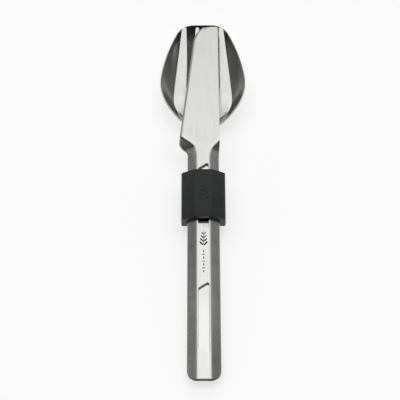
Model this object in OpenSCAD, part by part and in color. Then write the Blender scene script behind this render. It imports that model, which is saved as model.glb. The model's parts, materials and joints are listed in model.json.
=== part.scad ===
// Picnic cutlery: a spoon, a fork and a knife that nest in one another,
// held together by a rubber sleeve pushed over their handles.
//
// Each utensil is one pressed sheet.  All three share the same channel
// handle, a flat strip between two sloping flanks, so they stack flank on
// flank: spoon at the bottom, fork in its bowl, knife flat on top.
//
// Working frame of the stack: y runs along the handles from their end
// towards the heads, x is across, and z = 0 is the knife's upper face.
// lay_down() turns that frame to the one the set lies in on a table.

/* [Handles] */
// Straight handle, from its end to where the neck begins
handle_length = 115; // [100:1:140]
// Width of the handle at the neck
handle_width = 15.3; // [13:0.1:18]
// Width of the handle near its end
handle_end_width = 15.8; // [13:0.1:19]
// Width of the flat strip along the middle of the handle
strip_width = 5.9; // [5:0.1:8]
// Slope of the two flanks beside the strip, in degrees
flank_slope = 30; // [20:1:38]
// Radius of the handle's end corners
end_corner = 5.4; // [3:0.1:6]
// Thickness of the sheet that every utensil is pressed from
sheet_t = 0.9; // [0.7:0.05:1.2]
// Clearance between two nested utensils, square to their flanks
nest_gap = 0.15; // [0.1:0.05:0.4]

/* [Handle slots] */
// Width of the two long slots in each handle
slot_width = 5.2; // [4.4:0.1:6]
// Length of a slot along its longer side
slot_length = 36.6; // [28:0.1:40]
// How much shorter the slot is on its other side, at each end
slot_slant = 3.4; // [1:0.1:5]
// Radius of the slot corners
slot_corner = 0.8; // [0.4:0.1:1.5]
// Solid strip between the handle's end and the first slot
slot_end_margin = 11.6; // [8:0.1:16]
// Solid strip between the two slots
slot_spacing = 26.8; // [10:0.1:30]

/* [Knife] */
// Length of the blade and its neck, from the end of the straight handle
blade_length = 75.3; // [62:0.1:90]
// Distance of the cutting edge from the middle line at the heel
edge_at_heel = 11.8; // [9.5:0.1:14]
// Distance of the cutting edge's line from the middle line at the tip
edge_at_tip = 3.8; // [2:0.1:6]
// Distance of the spine from the middle line at the heel
spine_at_heel = 8.15; // [7:0.05:9.5]
// Distance of the spine from the middle line at the tip
spine_at_tip = 7.75; // [6.5:0.05:9]
// Width of the blade's rounded tip curve
tip_curve_width = 6; // [4:0.1:8]
// Length of the blade's rounded tip curve
tip_curve_length = 9.1; // [6:0.1:12]

/* [Fork] */
// Length of the head and neck, from the end of the straight handle
fork_head_length = 78.6; // [65:0.1:94]
// Half width of the fork across the tine tips
fork_tip_half = 10.3; // [8:0.1:12]
// Half width that the sides would reach at the shoulders
fork_root_half = 15.3; // [12:0.1:18]
// Distance from the tine tips to the roots between the tines
tine_length = 38; // [30:0.5:45]
// Width of an inner tine at its tip
tine_tip_width = 1.8; // [1.4:0.1:2.4]
// Width of an outer tine at its tip
outer_tine_width = 1.95; // [1.5:0.05:2.6]
// Middle of an outer gap's root, as a share of the shoulders' half width
outer_root_share = 0.42; // [0.36:0.01:0.48]
// Width of the gap between the two inner tines
inner_gap = 3.6; // [2.6:0.1:4.2]
// Distance from the shoulders of the fork to its tips
shoulder_from_tip = 45.3; // [36:0.1:54]
// Smallest distance of the fork's outline inside the spoon's
fork_inset = 0.8; // [0.5:0.1:2]
// Clearance between two utensils where one is drawn out endways over the other
pass_gap = 0.3; // [0.2:0.05:0.6]

/* [Spoon] */
// Width of the bowl
bowl_width = 42.6; // [35:0.1:52]
// Distance from the widest place to the tip of the bowl
bowl_front = 35.1; // [28:0.1:42]
// Distance from the widest place back to the neck
bowl_back = 26.6; // [22:0.1:32]
// Length of the neck between the straight handle and the bowl
neck_length = 20; // [16:0.1:24]
// Half width of the flattened tip
bowl_tip_half = 5.5; // [3:0.1:8]
// Depth of the bowl below its rim
bowl_depth = 9; // [7:0.1:11]
// How far the rim falls from the neck to the tip
rim_fall = 2.6; // [1.2:0.1:3.2]
// Half width of the fork's and the spoon's neck
neck_half = 6; // [5:0.1:7.5]

/* [Sleeve] */
// Distance from the handles' end to the sleeve
sleeve_start = 81; // [70:0.5:84]
// Length of the sleeve
sleeve_length = 25.3; // [20:0.1:30]
// Clearance between the sleeve and the stack of handles
sleeve_fit = 0.12; // [0.05:0.01:0.3]
// Wall over the strip and the flanks
sleeve_wall = 2.3; // [1.6:0.1:3]
// Wall at each side
sleeve_side_wall = 2.65; // [1.8:0.05:3.5]
// Wall under the stack
sleeve_floor_wall = 1.7; // [1.2:0.1:2.4]
// Width of the flat facet on top of the sleeve
sleeve_facet = 8.2; // [6:0.1:10]
// Radius of the sleeve's outer corners
sleeve_corner = 1.6; // [0.8:0.1:2]

/* [Hidden] */

metal = [0.78, 0.78, 0.76];
metal_mid = [0.70, 0.70, 0.68];
metal_low = [0.62, 0.62, 0.61];
rubber = [0.13, 0.13, 0.14];

slope = tan(flank_slope);
strip_half = strip_width / 2;
widest_half = max(handle_width, handle_end_width) / 2;
// Rounding of every press bend, measured across the bend
bend = 0.6;
// One utensil sits this far below the next, straight down
pitch = (sheet_t + nest_gap) / cos(flank_slope);
neck_y = handle_length;
knife_tip_y = neck_y + blade_length;
fork_tip_y = neck_y + fork_head_length;
bowl_wide_y = neck_y + neck_length + bowl_back;
spoon_tip_y = bowl_wide_y + bowl_front;

// ---------------------------------------------------------------- helpers

// Smooth version of max(u, 0); w is the width of the rounding
function soft_plus(u, w) = (u + sqrt(u * u + w * w)) / 2;
function mix(a, b, t) = a + (b - a) * t;
function clamp01(t) = min(1, max(0, t));
function ease(a, b, v) = let (t = clamp01((v - a) / (b - a))) t * t * (3 - 2 * t);
// 0 until v reaches from, then a quarter ellipse down to 1 at v = to
function ellipse_drop(from, to, v) =
    let (q = clamp01((v - from) / (to - from))) 1 - sqrt(max(0, 1 - q * q));
// n values from a towards b, without b itself
function spread(a, b, n) = [for (i = [0:n - 1]) mix(a, b, i / n)];
// Angles of a quarter turn make rows that are close where an end is round
function round_rows(from, to, n) = [for (i = [0:n]) from + (to - from) * sin(90 * i / n)];

// Corner i of a polygon, cut back along both sides and joined by an arc
function arc_corner(p0, p1, p2, r, n = 6) =
    let (
        a = (p0 - p1) / norm(p0 - p1),
        b = (p2 - p1) / norm(p2 - p1),
        half = acos(a * b) / 2,
        c = p1 + (a + b) / norm(a + b) * r / sin(half),
        s = p1 + a * r / tan(half) - c,
        e = p1 + b * r / tan(half) - c,
        turn = 180 - 2 * half,
        side = sign(s.x * e.y - s.y * e.x)
    )
    [for (i = [0:n]) let (t = side * turn * i / n)
        c + [s.x * cos(t) - s.y * sin(t), s.x * sin(t) + s.y * cos(t)]];
function rounded(pts, radii) =
    let (n = len(pts))
    [for (i = [0:n - 1]) each arc_corner(pts[(i + n - 1) % n], pts[i], pts[(i + 1) % n], radii[i])];

// ------------------------------------------------------- shared handle form

// Half width of a handle: it spreads a little towards its rounded end
function handle_half(y) =
    mix(handle_end_width, handle_width, clamp01(y / neck_y)) / 2
    - end_corner * (y < end_corner ? 1 - sqrt(max(0, 1 - pow(1 - y / end_corner, 2))) : 0);

// Height of a channel whose bend lines lie at -left and +right
function channel(x, left, right) =
    -slope * (soft_plus(-x - left, bend) + soft_plus(x - right, bend));

end_rows = [for (i = [0:6]) end_corner * (1 - cos(90 * i / 6))];

// A pressed sheet between rows of y, with its outline, bend lines and upper
// surface given as functions.  The lower surface lies sheet_t under the
// upper one, square to it.
module sheet(rows, left, right, bends, height) {
    cols = [for (y = rows)
        let (
            l = left(y), r = right(y), b = bends(y),
            e = b[2],
            bl = min(b[0], l - 1.6 * e), br = min(b[1], r - 1.6 * e)
        )
        concat(spread(-l, -bl - e, 3), spread(-bl - e, -bl + e, 4), spread(-bl + e, br - e, 3),
               spread(br - e, br + e, 4), spread(br + e, r, 3), [r])];
    m = len(cols[0]);
    n = len(rows);
    step = 0.02;
    upper = [for (i = [0:n - 1]) for (x = cols[i]) [x, rows[i], height(x, rows[i])]];
    lower = [for (p = upper)
        let (
            gx = (height(p.x + step, p.y) - height(p.x - step, p.y)) / (2 * step),
            gy = (height(p.x, p.y + step) - height(p.x, p.y - step)) / (2 * step)
        )
        p - sheet_t * [-gx, -gy, 1] / norm([gx, gy, 1])];
    k = n * m;
    skin = [for (i = [0:n - 2]) for (j = [0:m - 2])
        let (a = i * m + j, b = a + 1, c = a + m, d = c + 1)
        each [[a, c, d], [a, d, b], [k + a, k + d, k + c], [k + a, k + b, k + d]]];
    sides = [for (i = [0:n - 2])
        let (a = i * m, c = a + m, b = a + m - 1, d = b + m)
        each [[a, k + a, k + c], [a, k + c, c], [b, d, k + d], [b, k + d, k + b]]];
    ends = [for (j = [0:m - 2])
        let (a = j, b = j + 1, c = (n - 1) * m + j, d = c + 1)
        each [[a, b, k + b], [a, k + b, k + a], [c, k + d, d], [c, k + c, k + d]]];
    polyhedron(points = concat(upper, lower), faces = concat(skin, sides, ends), convexity = 6);
}

// The two long slots, cut straight down through all three handles
module slots() {
    half = slot_width / 2;
    for (start = [slot_end_margin, slot_end_margin + slot_length + slot_spacing])
        translate([0, start, -4 * bowl_depth])
            linear_extrude(8 * bowl_depth)
                polygon(rounded(
                    [[half, 0], [half, slot_length],
                     [-half, slot_length - slot_slant], [-half, slot_slant]],
                    [slot_corner, slot_corner, slot_corner, slot_corner]));
}

// ------------------------------------------------------------------- knife

heel_start = 1.7;   // the heel swells out this far past the neck line
heel_end = 8.2;
knife_turn_left = 5.35;     // where each bend line leaves the strip
knife_turn_right = 3.3;
knife_run_left = 1.45;      // and how fast it runs out to the blade's edge
knife_run_right = 0.95;
spine_corner = 0.8;

function blade_line(heel, tip, y) = mix(heel, tip, (y - neck_y - heel_end) / (blade_length - heel_end));
function knife_left(y) =
    mix(handle_half(y), blade_line(edge_at_heel, edge_at_tip, y),
        ease(neck_y + heel_start, neck_y + heel_end, y))
    - tip_curve_width * ellipse_drop(knife_tip_y - tip_curve_length, knife_tip_y, y);
function knife_right(y) =
    mix(handle_half(y), blade_line(spine_at_heel, spine_at_tip, y),
        ease(neck_y, neck_y + heel_end, y))
    - spine_corner * ellipse_drop(knife_tip_y - spine_corner, knife_tip_y, y);
// Along the handle the bend lines stay on the strip's edges, as the fork's and spoon's do
function knife_bend(y, turn, run) = strip_half
    + run * max(0, soft_plus(y - neck_y - turn, 1.8) - soft_plus(-turn, 1.8));
function knife_bends(y) = [
    knife_bend(y, knife_turn_left, knife_run_left),
    knife_bend(y, knife_turn_right, knife_run_right),
    bend];
function knife_height(x, y) =
    channel(x, knife_bends(y)[0], knife_bends(y)[1]);

module knife() {
    rows = concat(
        end_rows, [0.4 * neck_y, neck_y - 3],
        [for (i = [0:16]) neck_y + i], [neck_y + 30, neck_y + 48],
        round_rows(knife_tip_y - tip_curve_length, knife_tip_y, 9));
    color(metal)
        difference() {
            sheet(rows, function (y) knife_left(y), function (y) knife_right(y),
                  function (y) knife_bends(y), function (x, y) knife_height(x, y));
            slots();
        }
}

// ------------------------------------------------------------------- spoon

bowl_start_y = neck_y + neck_length;
bowl_deep_y = bowl_wide_y - 4;      // the bowl is deepest a little behind its widest place
// The rim starts just below the level of the flanks' outer edges
rim_set = 0.2;
rim_level = -2 * pitch - (widest_half - strip_half) * slope - rim_set;
tip_corner_length = 5.4;
bowl_back_taper = 0.67;         // share of the width lost back to the neck
bowl_front_fullness = 1.61;     // a higher power keeps the front wide for longer
bowl_floor_along = 2.4;         // powers that shape the hollow: the higher, the flatter its floor
bowl_floor_across = 2.8;

// Outline: a parabola behind the widest place, a fuller curve in front of
// it, and a rounded corner on each side of the flattened tip
function bowl_half(y) =
    let (
        d = abs(y - bowl_wide_y),
        full = bowl_width / 2,
        back = 1 - bowl_back_taper * pow(d / bowl_back, 2),
        at_tip = bowl_tip_half + bowl_width / 8,
        front = 1 - (1 - at_tip / full) * pow(d / bowl_front, bowl_front_fullness)
    )
    y < bowl_wide_y
        ? neck_half + soft_plus(full * back - neck_half, 2)
        : full * front
          - (at_tip - bowl_tip_half) * ellipse_drop(spoon_tip_y - tip_corner_length, spoon_tip_y, y);
function spoon_half(y) = y < bowl_wide_y
    ? mix(handle_half(y), bowl_half(y), ease(neck_y, bowl_start_y, y)) : bowl_half(y);
function rim_height(y) =
    rim_level - rim_fall * clamp01((y - bowl_start_y) / (spoon_tip_y - bowl_start_y));
function bowl_height(x, y) =
    let (
        v = y > bowl_deep_y ? (y - bowl_deep_y) / (spoon_tip_y - bowl_deep_y)
                            : (bowl_deep_y - y) / (bowl_deep_y - bowl_start_y + 4),
        u = min(1, abs(x) / spoon_half(y))
    )
    rim_height(y) - bowl_depth * (1 - pow(min(1, v), bowl_floor_along)) * (1 - pow(u, bowl_floor_across));
function spoon_blend(y) = ease(neck_y + 2, neck_y + neck_length + 6, y);
function spoon_height(x, y) =
    mix(channel(x, strip_half, strip_half) - 2 * pitch, bowl_height(x, y), spoon_blend(y));
function spoon_bends(y) =
    let (s = spoon_blend(y))
    [mix(strip_half, 0.5 * spoon_half(y), s), mix(strip_half, 0.5 * spoon_half(y), s),
     mix(bend, 0.24 * spoon_half(y), s)];

module spoon() {
    rows = concat(
        end_rows, [0.4 * neck_y, neck_y - 1],
        spread(neck_y + 2, bowl_wide_y, 17),
        spread(bowl_wide_y, spoon_tip_y - tip_corner_length, 9),
        round_rows(spoon_tip_y - tip_corner_length, spoon_tip_y, 8));
    color(metal_low)
        difference() {
            sheet(rows, function (y) spoon_half(y), function (y) spoon_half(y),
                  function (y) spoon_bends(y), function (x, y) spoon_height(x, y));
            slots();
        }
}

// -------------------------------------------------------------------- fork

shoulder_y = fork_tip_y - shoulder_from_tip;
fork_low_y = neck_y + 36;       // the head is lowest here
tine_root_y = fork_tip_y - tine_length;
gap_root_r = 1.2;
fork_dish = 0.003;              // curvature across the head
fork_sweep = 1.4;               // power of the head's upward sweep to its tips
// At its lowest the head still passes over the spoon's tip
fork_low = rim_level - rim_fall + sheet_t + pass_gap;
// The knife's heel, which hangs lowest at its outer corner, passes over the tine tips
heel_low = min([for (y = [neck_y:0.5:neck_y + heel_end]) knife_height(-knife_left(y), y)])
    - sheet_t / cos(flank_slope);
fork_tip_level = heel_low - pass_gap - fork_dish * fork_tip_half * fork_tip_half;

// Outline: straight sides from the tips to the shoulders, then in to the neck
function fork_line(y) = mix(fork_root_half, fork_tip_half, (y - shoulder_y) / (fork_tip_y - shoulder_y));
function fork_head_half(y) = neck_half
    + soft_plus(fork_line(y) - 0.66 * soft_plus(shoulder_y - y, 3) - neck_half, 2);
// The head stays inside the bowl's outline
function fork_half(y) =
    mix(handle_half(y), min(fork_head_half(y), spoon_half(y) - fork_inset), ease(neck_y, neck_y + 16, y));
function fork_profile(y) =
    (fork_low + pitch) * ease(neck_y + 2, fork_low_y, y)
    + (fork_tip_level - fork_low) * pow(clamp01((y - fork_low_y) / (fork_tip_y - fork_low_y)), fork_sweep);
function fork_blend(y) = ease(neck_y + 8, neck_y + 40, y);

// The lowest place that clears the spoon by the nesting gap
function above_spoon(x, y) =
    let (
        h = 0.05,
        gx = (spoon_height(x + h, y) - spoon_height(x - h, y)) / (2 * h),
        gy = (spoon_height(x, y + h) - spoon_height(x, y - h)) / (2 * h)
    )
    spoon_height(x, y)
    + (sheet_t + nest_gap * (1 + 0.4 * ease(neck_y, neck_y + 8, y))) * sqrt(1 + gx * gx + gy * gy);
// The highest place that lets the knife's handle be drawn out over the fork
function below_handle(x) =
    abs(x) < widest_half + nest_gap ? channel(x, strip_half, strip_half) - pitch : -pitch;
function fork_height(x, y) =
    let (
        flank = channel(min(abs(x), widest_half), strip_half, strip_half),
        own = mix(flank, fork_dish * x * x, fork_blend(y)) + fork_profile(y) - pitch
    )
    y < neck_y ? own : min(below_handle(x), max(own, above_spoon(x, y)));
function fork_bends(y) =
    let (b = mix(strip_half, 0.45 * fork_half(y), fork_blend(y)))
    [b, b, mix(bend, 0.2 * fork_half(y), fork_blend(y))];

// The gap beside an inner tine: its sides run from a round root to the tips
module tine_gap(root_x, root_half, tip_low, tip_high) {
    past = 2;
    polygon(concat(
        [for (i = [0:10]) let (t = 180 + 180 * i / 10)
            [root_x + root_half * cos(t), tine_root_y + root_half * (1 + sin(t))]],
        [[tip_high, fork_tip_y + past], [tip_low, fork_tip_y + past]]));
}

// Rounds the end of a tine that reaches from x0 to x1 at the tips: an oval
// a little wider than the tine, so that its sides meet the round end at an angle
module tine_end(x0, x1) {
    r = (x1 - x0) / 2;
    oval = [1.12, 1.4];
    beside = 0.4;
    start = fork_tip_y - oval.y * r;
    difference() {
        translate([x0 - beside, start]) square([x1 - x0 + 2 * beside, 2 * r]);
        translate([(x0 + x1) / 2, start]) scale(oval) circle(r, $fn = 32);
    }
}

module fork() {
    rows = concat(
        end_rows, [0.4 * neck_y, neck_y - 1],
        spread(neck_y + 2, shoulder_y, 16), spread(shoulder_y, fork_tip_y, 12), [fork_tip_y]);
    inner = inner_gap / 2;
    outer = inner + tine_tip_width;
    edge = fork_tip_half - outer_tine_width;
    root_in = outer_root_share * fork_root_half;
    color(metal_mid)
        difference() {
            sheet(rows, function (y) fork_half(y), function (y) fork_half(y),
                  function (y) fork_bends(y), function (x, y) fork_height(x, y));
            slots();
            translate([0, 0, -4 * bowl_depth])
                linear_extrude(8 * bowl_depth) {
                    tine_gap(0, gap_root_r, -inner, inner);
                    for (side = [0, 1])
                        mirror([side, 0]) {
                            tine_gap(root_in, gap_root_r, outer, edge);
                            tine_end(inner, outer);
                            tine_end(edge, fork_tip_half);
                        }
                }
        }
}

// ------------------------------------------------------------------ sleeve

// Upper and lower face of the stack, moved out by d
function over_stack(x, d) = channel(x, strip_half, strip_half) + d / cos(flank_slope);
function under_stack(x, d) =
    channel(x, strip_half, strip_half) - 2 * pitch - (sheet_t + d) / cos(flank_slope);
function mirrored(half) =
    concat(half, [for (i = [len(half) - 1:-1:0]) [-half[i].x, half[i].y]]);

// The bore passes over the widest place of the handles
bore_half = widest_half + sleeve_fit;
sleeve_half = bore_half + sleeve_side_wall;
sleeve_top = sleeve_fit + sleeve_wall;
// The side facets fall a little more steeply than the flanks under them
facet_steeper = 1.1;
facet_fall = (sleeve_half - sleeve_facet / 2) * slope * facet_steeper;
// Small rounding where two flat faces of the sleeve meet at a shallow angle
facet_round = 0.3;

module sleeve() {
    across = [strip_half - bend, strip_half, strip_half + bend, bore_half];
    bore = mirrored(concat(
        [for (x = across) [x, under_stack(x, sleeve_fit)]],
        [for (i = [3:-1:0]) [across[i], over_stack(across[i], sleeve_fit)]]));
    under = sleeve_fit + sleeve_floor_wall;
    body = mirrored([
        [strip_half, under_stack(strip_half, under)],
        [sleeve_half, under_stack(sleeve_half, under)],
        [sleeve_half, sleeve_top - facet_fall],
        [sleeve_facet / 2, sleeve_top]]);
    f = facet_round;
    c = sleeve_corner;
    color(rubber)
        translate([0, sleeve_start + sleeve_length, 0])
            rotate([90, 0, 0])
                linear_extrude(sleeve_length)
                    difference() {
                        polygon(rounded(body, [f, c, c, f, f, c, c, f]));
                        polygon(bore);
                    }
}

// ------------------------------------------------------- lying on the table

// The set lies on the lowest line of the bowl and on the two flank edges
// near the handles' end
bowl_line = [for (y = [bowl_start_y:1:spoon_tip_y]) [y, spoon_height(0, y) - sheet_t]];
foot_line = [for (y = end_rows)
    let (x = handle_half(y))
    [y, spoon_height(x, y) - sheet_t * cos(flank_slope)]];
function turned(p, tilt) = [p[0] * cos(tilt) - p[1] * sin(tilt), p[0] * sin(tilt) + p[1] * cos(tilt)];
function lowest(line, tilt) =
    let (heights = [for (p = line) turned(p, tilt)[1]], low = min(heights))
    [for (i = [0:len(line) - 1]) if (heights[i] == low) line[i]][0];
function settled(tilt, tries) =
    tries == 0 ? tilt :
    let (bowl = lowest(bowl_line, tilt), foot = lowest(foot_line, tilt))
    settled(atan2(foot[1] - bowl[1], bowl[0] - foot[0]), tries - 1);
rest_tilt = settled(3, 4);
floor_level = turned(lowest(foot_line, rest_tilt), rest_tilt)[1];
front_end = turned([spoon_tip_y, spoon_height(0, spoon_tip_y) - sheet_t], rest_tilt)[0];
back_end = turned([0, 0], rest_tilt)[0];

module lay_down() {
    translate([0, -(front_end + back_end) / 2, -floor_level])
        rotate([rest_tilt, 0, 0])
            children();
}

lay_down() spoon();
lay_down() fork();
lay_down() knife();
lay_down() sleeve();
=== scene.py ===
"""Picnic cutlery: the looks of a nested spoon, fork and knife in a rubber sleeve.

Every piece is first drawn in the stack's own working frame, in millimetres:
y runs along the handles from their end towards the heads, x is across, and
z = 0 is the knife's upper face.  laid_down() then turns a finished piece to
the way the set lies on its table, in metres.
"""

import json
import math

import bmesh
import bpy
from mathutils import Matrix, Vector


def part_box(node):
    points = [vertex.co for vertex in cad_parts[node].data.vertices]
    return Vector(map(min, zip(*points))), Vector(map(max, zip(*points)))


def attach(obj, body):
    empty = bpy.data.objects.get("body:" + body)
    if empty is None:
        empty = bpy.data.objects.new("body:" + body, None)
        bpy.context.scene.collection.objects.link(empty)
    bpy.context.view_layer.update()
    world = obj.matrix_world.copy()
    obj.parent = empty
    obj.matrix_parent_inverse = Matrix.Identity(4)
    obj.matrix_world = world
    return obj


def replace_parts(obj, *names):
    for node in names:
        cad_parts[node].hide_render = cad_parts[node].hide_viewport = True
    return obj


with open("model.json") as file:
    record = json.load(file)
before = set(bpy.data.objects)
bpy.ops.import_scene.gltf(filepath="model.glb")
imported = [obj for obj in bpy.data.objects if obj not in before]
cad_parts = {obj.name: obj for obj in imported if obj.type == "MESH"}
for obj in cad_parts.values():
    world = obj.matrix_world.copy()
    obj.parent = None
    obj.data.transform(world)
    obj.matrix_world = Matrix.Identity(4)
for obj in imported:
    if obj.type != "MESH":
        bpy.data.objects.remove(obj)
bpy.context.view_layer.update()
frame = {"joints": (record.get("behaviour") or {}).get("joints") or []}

# ------------------------------------------------------------- sizes, in mm
MM = 0.001

HANDLE_LENGTH = 115.0
HANDLE_WIDTH = 15.3
HANDLE_END_WIDTH = 15.8
STRIP_HALF = 2.95
FLANK_ANGLE = math.radians(30)
FLANK_SLOPE = math.tan(FLANK_ANGLE)
FLANK_COS = math.cos(FLANK_ANGLE)
END_CORNER = 5.4
SHEET = 0.9
NEST_GAP = 0.15
BEND = 0.6
PITCH = (SHEET + NEST_GAP) / FLANK_COS      # from one utensil's upper face to the next one's

SLOT_HALF = 2.6
SLOT_LENGTH = 36.6
SLOT_SLANT = 3.4
SLOT_CORNER = 0.8
SLOT_BRIDGE = 26.8
FIRST_SLOT = 11.6
SLOT_STARTS = (FIRST_SLOT, FIRST_SLOT + SLOT_LENGTH + SLOT_BRIDGE)

NECK = HANDLE_LENGTH
KNIFE_TIP = NECK + 75.3
FORK_TIP = NECK + 78.6
SPOON_NECK = 20
BOWL_BACK = 26.6          # from the bowl's start to its widest place
BOWL_FRONT = 35.1         # from its widest place to its tip
SPOON_TIP = NECK + SPOON_NECK + BOWL_BACK + BOWL_FRONT
RIM_BREAK = 0.13          # how far the rims of the fork and knife are rounded over
SPOON_RIM_BREAK = 0.24


# ------------------------------------------------------- small number tools
def mix(a, b, t):
    return a + (b - a) * t


def clamp01(t):
    return min(1.0, max(0.0, t))


def soft_plus(u, w):
    """Smooth version of max(u, 0), rounded over a width of w."""
    return (u + math.sqrt(u * u + w * w)) / 2


def ease(a, b, v):
    t = clamp01((v - a) / (b - a))
    return t * t * (3 - 2 * t)


def ellipse_drop(start, end, v):
    """0 until v reaches start, then a quarter ellipse down to 1 at end."""
    q = clamp01((v - start) / (end - start))
    return 1 - math.sqrt(max(0.0, 1 - q * q))


def slopes(height, x, y, step):
    """How steeply a height function climbs across and along, at one place."""
    return ((height(x + step, y) - height(x - step, y)) / (2 * step),
            (height(x, y + step) - height(x, y - step)) / (2 * step))


def spread(a, b, n):
    """n values from a towards b, without b itself."""
    return [mix(a, b, i / n) for i in range(n)]


def round_rows(a, b, n):
    """Rows that draw close where a rounded end closes, from a to b."""
    return [a + (b - a) * math.sin(math.pi / 2 * i / n) for i in range(n + 1)]


# ------------------------------------------------------- shared handle form
def handle_half(y):
    half = mix(HANDLE_END_WIDTH, HANDLE_WIDTH, clamp01(y / NECK)) / 2
    if y < END_CORNER:
        half -= END_CORNER * (1 - math.sqrt(max(0.0, 1 - (1 - y / END_CORNER) ** 2)))
    return half


WIDEST_HALF = max(HANDLE_WIDTH, HANDLE_END_WIDTH) / 2


def channel(x, left, right):
    """Height of a pressed channel whose bend lines lie at -left and +right."""
    return -FLANK_SLOPE * (soft_plus(-x - left, BEND) + soft_plus(x - right, BEND))


NECK_ROWS = 1.5           # the closer rows of a neck begin this far before it


def handle_rows():
    """Rows of the straight handle: close at its round end, and beside the slots."""
    rows = [END_CORNER * (1 - math.cos(math.pi / 2 * i / 12)) for i in range(13)]
    rows += [7, 8.6, 10.2]
    for start in SLOT_STARTS:
        rows += [start - 0.7 + 0.9 * i for i in range(6)]
        rows += spread(start + 5, start + SLOT_LENGTH - 5, 9)
        rows += [start + SLOT_LENGTH - 5 + 0.9 * i for i in range(7)]
        if start == SLOT_STARTS[0]:
            rows += spread(start + SLOT_LENGTH + 2.4, SLOT_STARTS[1] - 2, 7)
    return [y for y in rows if y < NECK - NECK_ROWS]


# ------------------------------------------------------------------- knife
HEEL = 8.2                # length of the heel, where the handle's outline becomes the blade's
EDGE_START = 1.7          # how far past the neck the cutting edge's side begins to swell
EDGE_LINE = (11.8, 3.8)   # the edge's distance from the middle line, at the heel and the tip
SPINE_LINE = (8.15, 7.75)
EDGE_TIP = 9.1            # length and depth of the round tip on the cutting edge's side
EDGE_TIP_DEPTH = 6
SPINE_TIP = 0.8
EDGE_BEND = (5.35, 1.45)  # where past the neck a bend line turns out, and how far per millimetre
SPINE_BEND = (3.3, 0.95)
TURN_ROUND = 1.8


def blade_line(heel, tip, y):
    return mix(heel, tip, (y - NECK - HEEL) / (KNIFE_TIP - NECK - HEEL))


def knife_left(y):
    """The cutting edge's distance from the middle line."""
    blade = blade_line(*EDGE_LINE, y)
    out = mix(handle_half(y), blade, ease(NECK + EDGE_START, NECK + HEEL, y))
    return out - EDGE_TIP_DEPTH * ellipse_drop(KNIFE_TIP - EDGE_TIP, KNIFE_TIP, y)


def knife_right(y):
    """The spine's distance from the middle line."""
    out = mix(handle_half(y), blade_line(*SPINE_LINE, y), ease(NECK, NECK + HEEL, y))
    return out - SPINE_TIP * ellipse_drop(KNIFE_TIP - SPINE_TIP, KNIFE_TIP, y)


def knife_bend(y, turn, run):
    """A bend line's distance from the middle line: the strip's edge, then out over the blade."""
    past = soft_plus(y - NECK - turn, TURN_ROUND) - soft_plus(-turn, TURN_ROUND)
    return STRIP_HALF + run * max(0.0, past)


def knife_bends(y):
    return knife_bend(y, *EDGE_BEND), knife_bend(y, *SPINE_BEND)


def knife_height(x, y):
    return channel(x, *knife_bends(y))


GRIND_WIDTH = 1.0         # the ground facet along the cutting edge
GRIND_DEPTH = 0.42


def knife_grind(x, y):
    """How much the cutting edge is ground away from the upper face."""
    begun = ease(NECK + 7, NECK + 12, y)
    inward = clamp01(1 - (x + knife_left(y)) / GRIND_WIDTH)
    return GRIND_DEPTH * begun * inward


# ------------------------------------------------------------------- spoon
BOWL_START = NECK + SPOON_NECK
BOWL_WIDE = BOWL_START + BOWL_BACK
BOWL_DEEP = BOWL_WIDE - 4
BOWL_RUN_IN = 4           # the hollow begins this far behind the bowl's start
BOWL_HALF_WIDTH = 21.3
BOWL_DEPTH = 9.0
BOWL_TIP_HALF = 5.5
BACK_TAPER = 0.67         # shape of the outline behind and before the widest place
FRONT_FULLNESS = 1.61
FLOOR_ALONG = 2.4         # how flat the bowl's floor is along and across
FLOOR_ACROSS = 2.8
SHOULDER_ROUND = 2        # width over which a neck rounds out into its head
NECK_HALF = 6.0
RIM_DROP = 0.2            # the rim lies this far under the edges of the spoon's handle
RIM_LEVEL = -2 * PITCH - (WIDEST_HALF - STRIP_HALF) * FLANK_SLOPE - RIM_DROP
RIM_FALL = 2.6            # how far the rim sinks from the bowl's start to its tip
TIP_CORNER = 5.4
SPOON_BLEND = (NECK + 2, NECK + 26)     # the handle's channel runs out into the bowl here


def bowl_half(y):
    d = abs(y - BOWL_WIDE)
    if y < BOWL_WIDE:
        full = BOWL_HALF_WIDTH * (1 - BACK_TAPER * (d / BOWL_BACK) ** 2)
        return NECK_HALF + soft_plus(full - NECK_HALF, SHOULDER_ROUND)
    at_tip = BOWL_TIP_HALF + BOWL_HALF_WIDTH / 4
    narrowing = (1 - at_tip / BOWL_HALF_WIDTH) * (d / BOWL_FRONT) ** FRONT_FULLNESS
    front = BOWL_HALF_WIDTH * (1 - narrowing)
    return front - (at_tip - BOWL_TIP_HALF) * ellipse_drop(SPOON_TIP - TIP_CORNER, SPOON_TIP, y)


def spoon_half(y):
    if y < BOWL_WIDE:
        return mix(handle_half(y), bowl_half(y), ease(NECK, BOWL_START, y))
    return bowl_half(y)


def bowl_height(x, y):
    if y > BOWL_DEEP:
        v = (y - BOWL_DEEP) / (SPOON_TIP - BOWL_DEEP)
    else:
        v = (BOWL_DEEP - y) / (BOWL_DEEP - BOWL_START + BOWL_RUN_IN)
    u = min(1.0, abs(x) / spoon_half(y))
    rim = RIM_LEVEL - RIM_FALL * clamp01((y - BOWL_START) / (SPOON_TIP - BOWL_START))
    return rim - BOWL_DEPTH * (1 - min(1.0, v) ** FLOOR_ALONG) * (1 - u ** FLOOR_ACROSS)


def spoon_height(x, y):
    flank = channel(x, STRIP_HALF, STRIP_HALF) - 2 * PITCH
    return mix(flank, bowl_height(x, y), ease(*SPOON_BLEND, y))


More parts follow.
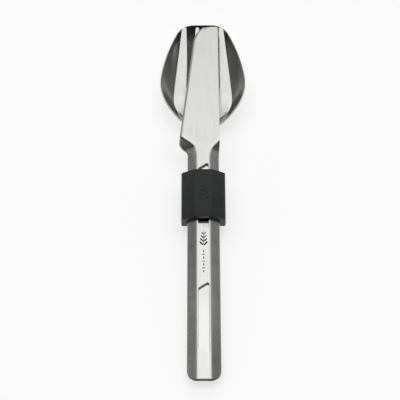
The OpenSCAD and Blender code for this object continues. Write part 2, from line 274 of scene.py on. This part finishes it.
# -------------------------------------------------------------------- fork
SHOULDER = FORK_TIP - 45.3
SHOULDER_SLOPE = 0.66     # how fast the shoulders turn in, and over what width they round
SHOULDER_SOFT = 3
BOWL_SIDE_GAP = 0.8       # the fork's outline stays this far inside the bowl's
FORK_LOW_Y = NECK + 36
FORK_SWEEP = 1.4          # how late the tines rise towards their tips
TINE_ROOT = FORK_TIP - 38
ROOT_R = 1.2
FORK_TIP_HALF = 10.3
FORK_ROOT_HALF = 15.3
OUTER_ROOT = 0.42 * FORK_ROOT_HALF      # middle of the outer gaps at their roots
INNER_GAP = 1.8
INNER_TINE = 1.8
OUTER_TINE = 1.95
FORK_DISH = 0.003
PASS_GAP = 0.3
FORK_LOW = RIM_LEVEL - RIM_FALL + SHEET + PASS_GAP
HEEL_LOW = min(knife_height(-knife_left(NECK + i / 2), NECK + i / 2) for i in range(17)) \
    - SHEET / FLANK_COS
FORK_TIP_LEVEL = HEEL_LOW - PASS_GAP - FORK_DISH * FORK_TIP_HALF ** 2


def fork_line(y):
    return mix(FORK_ROOT_HALF, FORK_TIP_HALF, (y - SHOULDER) / (FORK_TIP - SHOULDER))


def fork_half(y):
    turned_in = SHOULDER_SLOPE * soft_plus(SHOULDER - y, SHOULDER_SOFT)
    head = NECK_HALF + soft_plus(fork_line(y) - turned_in - NECK_HALF, SHOULDER_ROUND)
    inside_bowl = min(head, spoon_half(y) - BOWL_SIDE_GAP)
    return mix(handle_half(y), inside_bowl, ease(NECK, NECK + 16, y))


def above_spoon(x, y):
    """The lowest height that clears the spoon by the nesting gap."""
    gx, gy = slopes(spoon_height, x, y, 0.05)
    gap = NEST_GAP * (1 + 0.4 * ease(NECK, NECK + 8, y))
    return spoon_height(x, y) + (SHEET + gap) * math.sqrt(1 + gx * gx + gy * gy)


def fork_height(x, y):
    flank = channel(min(abs(x), WIDEST_HALF), STRIP_HALF, STRIP_HALF)
    run = clamp01((y - FORK_LOW_Y) / (FORK_TIP - FORK_LOW_Y))
    profile = (FORK_LOW + PITCH) * ease(NECK + 2, FORK_LOW_Y, y) \
        + (FORK_TIP_LEVEL - FORK_LOW) * run ** FORK_SWEEP
    own = mix(flank, FORK_DISH * x * x, ease(NECK + 8, NECK + 40, y)) + profile - PITCH
    if y < NECK:
        return own
    # under the knife it keeps to its own place in the stack
    under_knife = abs(x) < WIDEST_HALF + NEST_GAP
    highest = channel(x, STRIP_HALF, STRIP_HALF) - PITCH if under_knife else -PITCH
    return min(highest, max(own, above_spoon(x, y)))


# ----------------------------------------------------------- column layouts
def half_columns(breaks, counts):
    """Distances from the middle line: counts[i] spans up to breaks[i]."""
    marks = [0.0]
    for end, n in zip(breaks, counts):
        marks += [mix(marks[-1], end, (i + 1) / n) for i in range(n)] if n else []
    return marks


HANDLE_REACH = 12         # the handle's columns never lie further out than this


def handle_columns(half, inner, bend_out, counts):
    """Strip, rounded bend and flank, drawn in where the end is narrower."""
    shrink = min(1.0, 0.86 * half / bend_out)
    return half_columns([inner * shrink, bend_out * shrink, half], counts)


def mirrored_row(left, right):
    return [-x for x in reversed(left)] + right[1:]


def knife_row(y):
    half = []
    for edge, bend in zip((knife_left(y), knife_right(y)), knife_bends(y)):
        bend = min(bend, 0.9 * edge - BEND)
        inner = bend - (STRIP_HALF - SLOT_HALF)
        cols = handle_columns(edge, inner, bend + BEND, (4, 5, 6))
        # the last span is the ground facet, once the blade has begun
        on_blade = ease(NECK + 4, NECK + 10, y)
        facet = mix(cols[-2], max(edge - GRIND_WIDTH, 0.5 * (cols[-3] + edge)), on_blade)
        half.append(cols[:-2] + [min(max(facet, cols[-3] + 1e-3), edge - 1e-3), edge])
    return mirrored_row(*half)


def spoon_row(y):
    half = spoon_half(y)
    on_handle = handle_columns(min(half, HANDLE_REACH), SLOT_HALF, STRIP_HALF + BEND, (4, 5, 9))
    across = [half * i / 18 for i in range(19)]
    t = ease(NECK - 2, NECK + 14, y)
    row = [mix(a, b, t) for a, b in zip(on_handle, across)]
    row[-1] = half
    return mirrored_row(row, row)


def tine_edges(y):
    """Edges of the gaps and tines on one side, from the middle outwards."""
    t = (y - TINE_ROOT - ROOT_R) / (FORK_TIP - TINE_ROOT - ROOT_R)
    return [mix(ROOT_R, INNER_GAP, t),
            mix(OUTER_ROOT - ROOT_R, INNER_GAP + INNER_TINE, t),
            mix(OUTER_ROOT + ROOT_R, FORK_TIP_HALF - OUTER_TINE, t)]


FORK_COUNTS = (3, 6, 6, 6)    # columns in half the middle gap, inner tine, gap, outer tine


def fork_row(y):
    half = fork_half(y)
    on_handle = handle_columns(min(half, HANDLE_REACH), SLOT_HALF, STRIP_HALF + BEND, (3, 6, 12))
    edges = tine_edges(max(y, TINE_ROOT))
    scale = min(1.0, 0.9 * half / edges[2])
    on_head = half_columns([e * scale for e in edges] + [half], FORK_COUNTS)
    t = ease(NECK, TINE_ROOT - 2, y)
    row = [mix(a, b, t) for a, b in zip(on_handle, on_head)]
    row[-1] = half
    return mirrored_row(row, row)


# ------------------------------------------------------------- sheet working
SHADED_EDGE_INDEX = 1          # finish of the cut edges on the handles: painted shade, near black
HIGHLIGHT_EDGE_INDEX = 2         # finish of the edges round the heads: a painted highlight, paler than the metal
ON_LINE = 1e-4            # how near a cut a point counts as lying on it


def new_verts(made):
    return [v for v in made["geom"] if isinstance(v, bmesh.types.BMVert)]


def spot(v):
    return round(v.co.x, 5), round(v.co.y, 5)


def cut_blank(rows, row_columns):
    """A flat blank: a grid drawn out to the outline, still at z = 0."""
    first = row_columns(rows[0])
    across, along = len(first) - 1, len(rows) - 1
    bm = bmesh.new()
    bmesh.ops.create_grid(bm, x_segments=across, y_segments=along, size=0.5)
    lines = [row_columns(y) for y in rows]
    for v in bm.verts:
        i, j = round((v.co.x + 0.5) * across), round((v.co.y + 0.5) * along)
        v.co = (lines[j][i], rows[j], 0)
    return bm


def zone_of(bm, inside):
    faces = [f for f in bm.faces if inside(f.calc_center_median())]
    edges = {e for f in faces for e in f.edges}
    verts = {v for f in faces for v in f.verts}
    return faces + list(edges) + list(verts)


def rounded_outline(points, radius, steps=5):
    """Corner arcs of a convex outline that runs anticlockwise."""
    out = []
    for i, p in enumerate(points):
        before, after = points[i - 1], points[(i + 1) % len(points)]
        a, b = (before - p).normalized(), (after - p).normalized()
        half = math.acos(a.dot(b)) / 2
        centre = p + (a + b).normalized() * (radius / math.sin(half))
        start = p + a * (radius / math.tan(half)) - centre
        for k in range(steps + 1):
            turn = Matrix.Rotation((math.pi - 2 * half) * k / steps, 2)
            out.append(centre + turn @ start)
    return out


def punch(bm, outline, reach, strip):
    """Punches a convex outline out of the blank.
    Every side is cut first, then what lies inside them all drops out."""
    n = len(outline)
    cuts = []
    for i in range(n):
        p, q = outline[i], outline[(i + 1) % n]
        side = (q - p).normalized()
        if (q - p).length < ON_LINE:
            continue
        out_of = Vector((side.y, -side.x, 0))
        cuts.append((p.to_3d(), out_of))
        middle, length = (p + q) / 2, (q - p).length / 2 + reach
        if abs(side.x) < 1e-3 and abs(abs(p.x) - strip) < 1e-3:
            continue          # a column of the blank already runs along this side
        near = zone_of(bm, lambda c: abs(c.x) < strip and (c.xy - middle).length < length)
        if near:
            bmesh.ops.bisect_plane(bm, geom=near, dist=ON_LINE, plane_co=p.to_3d(),
                                   plane_no=out_of)
    waste = [f for f in bm.faces
             if all((f.calc_center_median() - p).dot(out_of) < 1e-6 for p, out_of in cuts)]
    bmesh.ops.delete(bm, geom=waste, context="FACES")


def punch_slots(bm):
    for start in SLOT_STARTS:
        corners = [Vector((SLOT_HALF, start)), Vector((SLOT_HALF, start + SLOT_LENGTH)),
                   Vector((-SLOT_HALF, start + SLOT_LENGTH - SLOT_SLANT)),
                   Vector((-SLOT_HALF, start + SLOT_SLANT))]
        punch(bm, rounded_outline(corners, SLOT_CORNER), 1.2, SLOT_HALF)


def press(bm, height, grind=None):
    """Presses the blank in its die and gives it the thickness of the sheet."""
    under = {}
    for v in bm.verts:
        x, y = v.co.x, v.co.y
        gx, gy = slopes(height, x, y, 0.02)
        under[spot(v)] = -SHEET * Vector((-gx, -gy, 1)).normalized()
        v.co.z = height(x, y)
    upper = set(bm.verts)
    made = bmesh.ops.extrude_face_region(bm, geom=bm.faces[:])
    for v in new_verts(made):
        v.co += under[spot(v)]
    if grind:
        for v in upper:
            v.co.z -= grind(v.co.x, v.co.y)
    bmesh.ops.recalc_face_normals(bm, faces=bm.faces[:])
    # the cut edges get painted shade on the handles and a painted highlight round the heads
    for f in bm.faces:
        if len({v in upper for v in f.verts}) == 2:
            on_head = f.calc_center_median().y > NECK + 12
            f.material_index = HIGHLIGHT_EDGE_INDEX if on_head else SHADED_EDGE_INDEX


def break_rims(bm, amount, segments=2):
    """Rounds over the rims: the edges where two faces turn by more than 50 degrees."""
    rims = [e for e in bm.edges
            if len(e.link_faces) == 2 and e.calc_face_angle(0) > math.radians(50)]
    bmesh.ops.bevel(bm, geom=rims, offset=amount, offset_type="OFFSET", affect="EDGES",
                    segments=segments, profile=0.5, material=-1, clamp_overlap=True)


# ------------------------------------------------------ lying on the table
fork_draw = next(j for j in frame["joints"] if j["name"] == "fork_draw")
handle_axis = Vector(fork_draw["axis"]).normalized()
knife_low, knife_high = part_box("knife")
stack_origin = Vector((0, knife_low.y, knife_high.z - KNIFE_TIP * MM * handle_axis.z))
LIE = Matrix.Translation(stack_origin) @ Matrix((
    (1, 0, 0, 0),
    (0, handle_axis.y, -handle_axis.z, 0),
    (0, handle_axis.z, handle_axis.y, 0),
    (0, 0, 0, 1))) \
    @ Matrix.Scale(MM, 4)
TILT = math.atan2(handle_axis.z, handle_axis.y)


def laid_down(bm, name, body, finishes, slot=None, crease=32):
    """Turns a finished piece to its resting place and hands it to its body.
    A piece with a slot stands for its body's solid, so it is trimmed to that solid's box.
    Edges where the faces turn by more than crease degrees stay sharp."""
    bmesh.ops.transform(bm, matrix=LIE, verts=bm.verts[:])
    if slot:
        low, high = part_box(body)
        for v in bm.verts:
            v.co = [min(max(at, a), b) for at, a, b in zip(v.co, low, high)]
    mesh = bpy.data.meshes.new(name)
    bm.to_mesh(mesh)
    bm.free()
    mesh.shade_smooth()
    mesh.set_sharp_from_angle(angle=math.radians(crease))
    piece = bpy.data.objects.new(name, mesh)
    bpy.context.scene.collection.objects.link(piece)
    for finish in finishes:
        mesh.materials.append(finish)
    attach(piece, body)
    return piece


# ---------------------------------------------------------------- materials
def node_sheet(name):
    finish = bpy.data.materials.new(name)
    finish.use_nodes = True
    nodes, links = finish.node_tree.nodes, finish.node_tree.links
    return finish, nodes, links, nodes["Principled BSDF"]


def scaled_place(nodes, links, scale, turn=0.0):
    place = nodes.new("ShaderNodeTexCoord")
    lay = nodes.new("ShaderNodeMapping")
    lay.inputs["Rotation"].default_value = (turn, 0, 0)
    lay.inputs["Scale"].default_value = scale
    links.new(place.outputs["Object"], lay.inputs["Vector"])
    return lay.outputs["Vector"]


def noise(nodes, links, place, scale, detail=3.0, rough=0.5):
    n = nodes.new("ShaderNodeTexNoise")
    n.inputs["Scale"].default_value = scale
    n.inputs["Detail"].default_value = detail
    n.inputs["Roughness"].default_value = rough
    links.new(place, n.inputs["Vector"])
    return n.outputs["Fac"]


def ranged(nodes, links, value, low, high, to_low, to_high):
    r = nodes.new("ShaderNodeMapRange")
    limits = (("From Min", low), ("From Max", high), ("To Min", to_low), ("To Max", to_high))
    for name, v in limits:
        r.inputs[name].default_value = v
    links.new(value, r.inputs["Value"])
    return r.outputs["Result"]


def sums(nodes, links, a, b, how="ADD"):
    m = nodes.new("ShaderNodeMath")
    m.operation = how
    for socket, value in zip(m.inputs, (a, b)):
        if isinstance(value, (int, float)):
            socket.default_value = value
        else:
            links.new(value, socket)
    return m.outputs["Value"]


def tinted(nodes, links, fac, dark, light):
    m = nodes.new("ShaderNodeMix")
    m.data_type = "RGBA"
    m.inputs["A"].default_value = (*dark, 1)
    m.inputs["B"].default_value = (*light, 1)
    links.new(fac, m.inputs["Factor"])
    return m.outputs["Result"]


def bumped(nodes, links, shader, height, strength, distance):
    b = nodes.new("ShaderNodeBump")
    b.inputs["Strength"].default_value = strength
    b.inputs["Distance"].default_value = distance
    links.new(height, b.inputs["Height"])
    links.new(b.outputs["Normal"], shader.inputs["Normal"])


def satin_titanium(name, dark, light, roughness):
    """Pressed titanium: brushed along the handle, cloudy satin, with fine handling marks."""
    finish, nodes, links, shader = node_sheet(name)
    lines = scaled_place(nodes, links, (1.0, 0.012, 0.25), -TILT)
    flat = scaled_place(nodes, links, (1, 1, 1))
    brushed = noise(nodes, links, lines, 5200, 4, 0.62)
    cloudy = noise(nodes, links, flat, 55, 3, 0.55)
    grain = noise(nodes, links, flat, 3800, 2, 0.5)
    smears = scaled_place(nodes, links, (1.0, 0.06, 0.4), -TILT)
    rubbed = noise(nodes, links, smears, 700, 2, 0.5)
    shader.inputs["Metallic"].default_value = 1.0
    tone = sums(nodes, links, sums(nodes, links, cloudy, 0.45, "MULTIPLY"),
                sums(nodes, links, brushed, 0.55, "MULTIPLY"))
    links.new(tinted(nodes, links, ranged(nodes, links, tone, 0.3, 0.7, 0, 1), dark, light),
              shader.inputs["Base Color"])
    wear = sums(nodes, links,
                ranged(nodes, links, cloudy, 0.3, 0.7, roughness - 0.03, roughness + 0.05),
                ranged(nodes, links, rubbed, 0.3, 0.7, -0.02, 0.03))
    links.new(wear, shader.inputs["Roughness"])
    relief = sums(nodes, links, sums(nodes, links, brushed, 0.7, "MULTIPLY"),
                  sums(nodes, links, grain, 0.3, "MULTIPLY"))
    bumped(nodes, links, shader, relief, 0.12, 0.00004)
    return finish


def moulded_rubber(name, dark, light, roughness):
    """Black moulded rubber: a fine matt grain, with faint pale handling dust."""
    finish, nodes, links, shader = node_sheet(name)
    flat = scaled_place(nodes, links, (1, 1, 1))
    grain = noise(nodes, links, flat, 4200, 3, 0.6)
    dusty = noise(nodes, links, flat, 160, 4, 0.6)
    links.new(tinted(nodes, links, ranged(nodes, links, dusty, 0.35, 0.75, 0, 1), dark, light),
              shader.inputs["Base Color"])
    links.new(ranged(nodes, links, dusty, 0.3, 0.7, roughness - 0.06, roughness + 0.07),
              shader.inputs["Roughness"])
    shader.inputs["Specular IOR Level"].default_value = 0.42
    bumped(nodes, links, shader, grain, 0.35, 0.00006)
    return finish


def etched_grey(name, dark, light):
    """The dark, matt surface that a laser leaves in titanium."""
    finish, nodes, links, shader = node_sheet(name)
    flat = scaled_place(nodes, links, (1, 1, 1))
    speckle = noise(nodes, links, flat, 6000, 2, 0.6)
    links.new(tinted(nodes, links, speckle, dark, light), shader.inputs["Base Color"])
    links.new(ranged(nodes, links, speckle, 0.3, 0.7, 0.5, 0.7), shader.inputs["Roughness"])
    shader.inputs["Metallic"].default_value = 0.3
    bumped(nodes, links, shader, speckle, 0.2, 0.00003)
    return finish


# Each finish lies between a darker and a lighter tone; the last number is its roughness
knife_finish = satin_titanium(
    "knife_titanium", (0.60, 0.605, 0.575), (0.70, 0.70, 0.67), 0.25)
fork_finish = satin_titanium(
    "fork_titanium", (0.58, 0.58, 0.555), (0.68, 0.68, 0.65), 0.25)
# The spoon is the same titanium painted much darker: painted shade for the dark reflections in
# its bowl
spoon_shaded_finish = satin_titanium(
    "spoon_titanium_painted_shade", (0.30, 0.30, 0.285), (0.52, 0.52, 0.50), 0.19)
sleeve_finish = moulded_rubber(
    "sleeve_rubber", (0.026, 0.0305, 0.0315), (0.044, 0.049, 0.050), 0.5)
sleeve_mark_finish = moulded_rubber(
    "sleeve_gloss_rubber", (0.003, 0.003, 0.003), (0.006, 0.006, 0.006), 0.42)
# The handles' cut edges: titanium painted near black, painted shade where the sheet's edges lie
# in shadow
shaded_edge_finish = satin_titanium(
    "edge_painted_shade", (0.09, 0.09, 0.085), (0.17, 0.17, 0.16), 0.45)
# The rim edges round the heads: titanium painted paler than the rest, a painted highlight along
# the rims
highlight_edge_finish = satin_titanium(
    "edge_painted_highlight", (0.80, 0.80, 0.78), (0.88, 0.88, 0.86), 0.5)
etched_finish = etched_grey(
    "etched_titanium", (0.03, 0.03, 0.03), (0.07, 0.07, 0.07))


# ------------------------------------------------------------ the utensils
def make_knife():
    tip_start = KNIFE_TIP - EDGE_TIP
    rows = handle_rows() + spread(NECK - NECK_ROWS, NECK + 20, 36) \
        + spread(NECK + 20, tip_start, 18) + round_rows(tip_start, KNIFE_TIP, 16)
    bm = cut_blank(rows, knife_row)
    punch_slots(bm)
    press(bm, knife_height, knife_grind)
    break_rims(bm, RIM_BREAK)
    finishes = (knife_finish, shaded_edge_finish, highlight_edge_finish)
    return laid_down(bm, "knife_pressed", "knife", finishes, "knife_metal")


def make_spoon():
    tip_start = SPOON_TIP - TIP_CORNER
    rows = handle_rows() + spread(NECK - NECK_ROWS, BOWL_START, 22) \
        + spread(BOWL_START, BOWL_WIDE, 24) + spread(BOWL_WIDE, tip_start, 26) \
        + round_rows(tip_start, SPOON_TIP, 12)
    bm = cut_blank(rows, spoon_row)
    punch_slots(bm)
    press(bm, spoon_height)
    break_rims(bm, SPOON_RIM_BREAK, segments=3)
    finishes = (spoon_shaded_finish, shaded_edge_finish, highlight_edge_finish)
    return laid_down(bm, "spoon_pressed", "spoon", finishes, "spoon_metal")


def make_fork():
    rows = handle_rows() + spread(NECK - NECK_ROWS, TINE_ROOT - 0.6, 40) \
        + spread(TINE_ROOT - 0.6, TINE_ROOT + ROOT_R, 5) \
        + spread(TINE_ROOT + ROOT_R, FORK_TIP - TINE_REACH, 26) \
        + round_rows(FORK_TIP - TINE_REACH, FORK_TIP, 8)
    bm = cut_blank(rows, fork_row)
    punch_slots(bm)
    open_gaps(bm)
    round_tines(bm)
    press(bm, fork_height)
    break_rims(bm, RIM_BREAK)
    finishes = (fork_finish, shaded_edge_finish, highlight_edge_finish)
    return laid_down(bm, "fork_pressed", "fork", finishes, "fork_metal")


def open_gaps(bm):
    """Takes out the gaps between the tines: their straight part, then the round roots."""
    top = TINE_ROOT + ROOT_R

    def in_gap(c):
        e = tine_edges(c.y)
        return c.y > top and (abs(c.x) < e[0] or e[1] < abs(c.x) < e[2])

    waste = [f for f in bm.faces if in_gap(f.calc_center_median())]
    bmesh.ops.delete(bm, geom=waste, context="FACES")
    for middle in (-OUTER_ROOT, 0.0, OUTER_ROOT):
        centre = Vector((middle, top))
        arc = [centre + ROOT_R * Vector((math.cos(a), math.sin(a)))
               for a in (math.pi + math.pi * k / 10 for k in range(11))]
        sides = []
        for p, q in zip(arc, arc[1:]):
            side = (q - p).normalized()
            out_of = Vector((side.y, -side.x, 0))
            sides.append((p.to_3d(), out_of))
            near = zone_of(bm, lambda c: c.y < top and (c.xy - centre).length < 1.6 * ROOT_R)
            bmesh.ops.bisect_plane(bm, geom=near, dist=ON_LINE, plane_co=p.to_3d(),
                                   plane_no=out_of)
        waste = [f for f in bm.faces
                 if abs(f.calc_center_median().x - middle) < ROOT_R
                 and TINE_ROOT - 1 < f.calc_center_median().y < top
                 and all((f.calc_center_median() - p).dot(n) < 1e-6 for p, n in sides)]
        bmesh.ops.delete(bm, geom=waste, context="FACES")


TINE_REACH = 3.6          # length of a tine's end that is drawn round
TINE_POINT = 1.4          # how long the round point is, beside its half width
TINE_FULL = 1.12          # above 1, the point's corners stay a little full


def round_tines(bm):
    """Draws the end of every tine to a round point."""
    for v in bm.verts:
        t = clamp01((v.co.y - FORK_TIP + TINE_REACH) / TINE_REACH)
        if t <= 0:
            continue
        edges = tine_edges(v.co.y) + [fork_half(v.co.y)]
        for a, b in ((edges[0], edges[1]), (edges[2], edges[3])):
            if a - ON_LINE <= abs(v.co.x) <= b + ON_LINE:
                r = (b - a) / 2
                u = min(0.999, abs(abs(v.co.x) - a - r) / (TINE_FULL * r))
                v.co.y -= t * TINE_POINT * r * (1 - math.sqrt(1 - u * u))
                break


# --------------------------------------------------------------- the sleeve
SLEEVE_START = 81.0
SLEEVE_LENGTH = 25.3
SLEEVE_FIT = 0.12
SLEEVE_WALL = 2.3
SLEEVE_FLOOR = 1.7
SLEEVE_FACET = 8.2
SLEEVE_SIDE = 2.65
SLEEVE_CORNER = 1.6
FACET_ROUND = 0.5
END_ROUND = 0.35
BORE_HALF = WIDEST_HALF + SLEEVE_FIT
SLEEVE_HALF = BORE_HALF + SLEEVE_SIDE
SLEEVE_TOP = SLEEVE_FIT + SLEEVE_WALL
FACET_STEEPER = 1.1       # the upper facets fall this much faster than the handles' flanks
FACET_FALL = (SLEEVE_HALF - SLEEVE_FACET / 2) * FLANK_SLOPE * FACET_STEEPER


def over_stack(x, d):
    """A height that clears the knife by d."""
    return channel(x, STRIP_HALF, STRIP_HALF) + d / FLANK_COS


def under_stack(x, d):
    """A height that clears the spoon's underside by d."""
    return channel(x, STRIP_HALF, STRIP_HALF) - 2 * PITCH - (SHEET + d) / FLANK_COS


def loop_of(bm, half):
    """A closed outline in the sleeve's end plane, from its right half."""
    points = half + [(-x, z) for x, z in reversed(half)]
    verts = [bm.verts.new((x, SLEEVE_START, z)) for x, z in points]
    bm.faces.new(verts)
    return verts


def make_sleeve():
    bm = bmesh.new()
    under = SLEEVE_FIT + SLEEVE_FLOOR
    body = loop_of(bm, [
        (STRIP_HALF, under_stack(STRIP_HALF, under)),
        (SLEEVE_HALF, under_stack(SLEEVE_HALF, under)),
        (SLEEVE_HALF, SLEEVE_TOP - FACET_FALL),
        (SLEEVE_FACET / 2, SLEEVE_TOP)])
    facet_corners = body[0:1] + body[3:5] + body[7:8]
    side_corners = body[1:3] + body[5:7]
    for corners, radius in ((facet_corners, FACET_ROUND), (side_corners, SLEEVE_CORNER)):
        for v in corners:
            a, b = [(e.other_vert(v).co - v.co).normalized() for e in v.link_edges]
            setback = radius / math.tan(a.angle(b) / 2)
            bmesh.ops.bevel(bm, geom=[v], offset=setback, offset_type="OFFSET",
                            affect="VERTICES", segments=6, profile=0.5, material=-1)
    across = [STRIP_HALF - BEND, STRIP_HALF, STRIP_HALF + BEND, BORE_HALF]
    loop_of(bm, [(x, under_stack(x, SLEEVE_FIT)) for x in across]
            + [(x, over_stack(x, SLEEVE_FIT)) for x in reversed(across)])
    bmesh.ops.delete(bm, geom=bm.faces[:], context="FACES_ONLY")
    bmesh.ops.triangle_fill(bm, use_beauty=True, use_dissolve=False, edges=bm.edges[:],
                            normal=(0, -1, 0))
    made = bmesh.ops.extrude_face_region(bm, geom=bm.faces[:])
    bmesh.ops.translate(bm, vec=(0, SLEEVE_LENGTH, 0), verts=new_verts(made))
    bmesh.ops.recalc_face_normals(bm, faces=bm.faces[:])
    ends = [e for e in bm.edges if abs(e.calc_face_angle(0) - math.pi / 2) < 0.02
            and abs(e.verts[0].co.y - e.verts[1].co.y) < 1e-6]
    bmesh.ops.bevel(bm, geom=ends, offset=END_ROUND, offset_type="OFFSET", affect="EDGES",
                    segments=3, profile=0.5, material=-1, clamp_overlap=True)
    return laid_down(bm, "sleeve_moulded", "sleeve", (sleeve_finish,), "sleeve_rubber",
                     crease=40)


# ---------------------------------------------------- plain leaf-sprig marks
MARK_SUNK = 0.03          # how far a mark's underside lies in the surface
ETCHED_PROUD = 0.012
MOULDED_PROUD = 0.05
STROKES_START = 53.2      # the row of strokes on the knife's handle
STROKE_STEP = 1.75
LEAF_LEAN = math.radians(42)


def lay_blob(bm, x, y, z, long_half, wide_half, turn, proud):
    """One thin oval, proud of the surface it lies on."""
    place = Matrix.Translation((x, y, z)) @ Matrix.Rotation(turn, 4, "Z") \
        @ Matrix.Diagonal((wide_half, long_half, 1, 1))
    made = bmesh.ops.create_circle(bm, cap_ends=True, segments=14, radius=1, matrix=place)
    face = made["verts"][0].link_faces[0]
    lifted = bmesh.ops.extrude_face_region(bm, geom=[face])
    bmesh.ops.translate(bm, vec=(0, 0, proud), verts=new_verts(lifted))


def leaf_sprig(bm, y0, length, leaf_size, z, proud):
    """A stem with four pairs of leaves that grow smaller towards its end."""
    lay_blob(bm, 0, y0 + length / 2, z, length / 2, 0.14, 0, proud)
    for i in range(4):
        y = y0 + length * (0.2 + 0.2 * i)
        size = 1 - 0.14 * i
        for side in (-1, 1):
            lay_blob(bm, side * 0.5 * leaf_size * size, y, z, 0.62 * leaf_size * size,
                     0.2 * leaf_size * size, -side * LEAF_LEAN, proud)


def make_marks():
    """A sprig and a row of long and cross strokes on the knife, and a sprig on the sleeve."""
    bm = bmesh.new()
    etched = MARK_SUNK + ETCHED_PROUD
    leaf_sprig(bm, 66.0, 8.8, 2.1, -MARK_SUNK, etched)
    for i in range(7):
        long_half, wide_half = (0.22, 0.75) if i % 2 else (0.62, 0.28)
        lay_blob(bm, 0, STROKES_START + STROKE_STEP * i, -MARK_SUNK, long_half, wide_half, 0,
                 etched)
    bmesh.ops.recalc_face_normals(bm, faces=bm.faces[:])
    laid_down(bm, "knife_etched_sprig", "knife", (etched_finish,))
    bm = bmesh.new()
    leaf_sprig(bm, SLEEVE_START + 8, 10, 2.9, SLEEVE_TOP - MARK_SUNK, MARK_SUNK + MOULDED_PROUD)
    bmesh.ops.recalc_face_normals(bm, faces=bm.faces[:])
    laid_down(bm, "sleeve_sprig", "sleeve", (sleeve_mark_finish,))


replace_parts(make_knife(), "knife")
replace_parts(make_fork(), "fork")
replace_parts(make_spoon(), "spoon")
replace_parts(make_sleeve(), "sleeve")
make_marks()


# --------------------------------------------------------- floor and light
def make_floor():
    bm = bmesh.new()
    bmesh.ops.create_grid(bm, x_segments=1, y_segments=1, size=3.0)
    mesh = bpy.data.meshes.new("floor")
    bm.to_mesh(mesh)
    bm.free()
    floor = bpy.data.objects.new("floor", mesh)
    bpy.context.scene.collection.objects.link(floor)
    finish, _, _, shader = node_sheet("pale_floor")
    shader.inputs["Base Color"].default_value = (0.85, 0.85, 0.85, 1)
    shader.inputs["Roughness"].default_value = 0.9
    shader.inputs["Specular IOR Level"].default_value = 0.1
    shader.inputs["Emission Color"].default_value = (1, 1, 1, 1)
    shader.inputs["Emission Strength"].default_value = 0.62
    mesh.materials.append(finish)


# The overhead light's strength along and beside its middle.  A stop's place is a share of the
# span, which is in times the light's height above the table.
ALONG_SPAN = (-2, 4)
ALONG_STOPS = ((0.0, 0.0), (0.325, 0.005), (0.36, 0.9), (0.39, 1.0), (0.412, 0.86),
               (0.445, 0.5), (0.57, 0.36), (1.0, 0.2))
SIDE_SPAN = (0, 4)
SIDE_STOPS = ((0.0, 1.0), (0.16, 0.95), (0.34, 0.12), (1.0, 0.08))
LOWEST_SKY = 0.06         # below this height the light is not drawn out any further
BOX_LEVEL = 1.5
DIM_LEVEL = 0.012
GLOW_LEVEL = 0.42         # pale walls round the table, seen only low down
GLOW_HEIGHTS = (0.12, 0.46)


def make_studio():
    """A dark studio with one long soft light overhead and a low glow round the table.
    The camera itself sees plain white behind the set."""
    world = bpy.data.worlds.new("studio")
    bpy.context.scene.world = world
    world.use_nodes = True
    nodes, links = world.node_tree.nodes, world.node_tree.links
    sky = nodes["Background"]
    place = nodes.new("ShaderNodeTexCoord")
    split = nodes.new("ShaderNodeSeparateXYZ")
    links.new(place.outputs["Generated"], split.inputs["Vector"])
    up = sums(nodes, links, split.outputs["Z"], LOWEST_SKY, "MAXIMUM")
    side = sums(nodes, links, split.outputs["X"], 0.0, "ABSOLUTE")
    side = sums(nodes, links, side, up, "DIVIDE")
    length = sums(nodes, links, split.outputs["Y"], up, "DIVIDE")
    side_fade = nodes.new("ShaderNodeValToRGB")
    along_fade = nodes.new("ShaderNodeValToRGB")
    for ramp, stops in ((side_fade, SIDE_STOPS), (along_fade, ALONG_STOPS)):
        ramp.color_ramp.interpolation = "EASE" if ramp is side_fade else "LINEAR"
        elements = ramp.color_ramp.elements
        for i, (at, level) in enumerate(stops):
            stop = elements[i] if i < 2 else elements.new(at)
            stop.position = at
            stop.color = (level, level, level, 1)
    links.new(ranged(nodes, links, side, *SIDE_SPAN, 0, 1), side_fade.inputs["Fac"])
    links.new(ranged(nodes, links, length, *ALONG_SPAN, 0, 1), along_fade.inputs["Fac"])
    light = sums(nodes, links, side_fade.outputs["Color"], along_fade.outputs["Color"],
                 "MULTIPLY")
    glow = ranged(nodes, links, split.outputs["Z"], *GLOW_HEIGHTS, GLOW_LEVEL, DIM_LEVEL)
    light = sums(nodes, links, sums(nodes, links, light, BOX_LEVEL, "MULTIPLY"), glow)
    seen = nodes.new("ShaderNodeLightPath")
    level = nodes.new("ShaderNodeMix")
    level.data_type = "FLOAT"
    links.new(seen.outputs["Is Camera Ray"], level.inputs["Factor"])
    links.new(light, level.inputs["A"])
    level.inputs["B"].default_value = 1.0
    links.new(level.outputs["Result"], sky.inputs["Color"])
    sky.inputs["Strength"].default_value = 1.0


CAMERA_LENS = 129.06
CAMERA_AIM = 90.7         # mm along the handles from their end
CAMERA_ASIDE = -1.64      # mm to the side of the middle line
CAMERA_DISTANCE = 0.690   # in metres
CAMERA_LEAN = math.radians(27)          # back towards the handles' end from square to them
CAMERA_ROLL = math.radians(-0.195)


def make_camera():
    lens = bpy.data.cameras.new("camera")
    lens.sensor_width = 36
    lens.lens = CAMERA_LENS
    lens.clip_start, lens.clip_end = 0.01, 20
    camera = bpy.data.objects.new("camera", lens)
    bpy.context.scene.collection.objects.link(camera)
    target = LIE @ Vector((0, CAMERA_AIM, 0)) + Vector((CAMERA_ASIDE * MM, 0, 0))
    back = Vector((0, -math.sin(CAMERA_LEAN), math.cos(CAMERA_LEAN)))
    back = (LIE.to_3x3() @ back).normalized()
    camera.location = target + CAMERA_DISTANCE * back
    camera.rotation_mode = "QUATERNION"
    roll = Matrix.Rotation(CAMERA_ROLL, 3, "Z").to_quaternion()
    camera.rotation_quaternion = (-back).to_track_quat("-Z", "Y") @ roll
    bpy.context.scene.camera = camera


make_floor()
make_studio()
make_camera()
bpy.context.scene.view_settings.view_transform = "Standard"
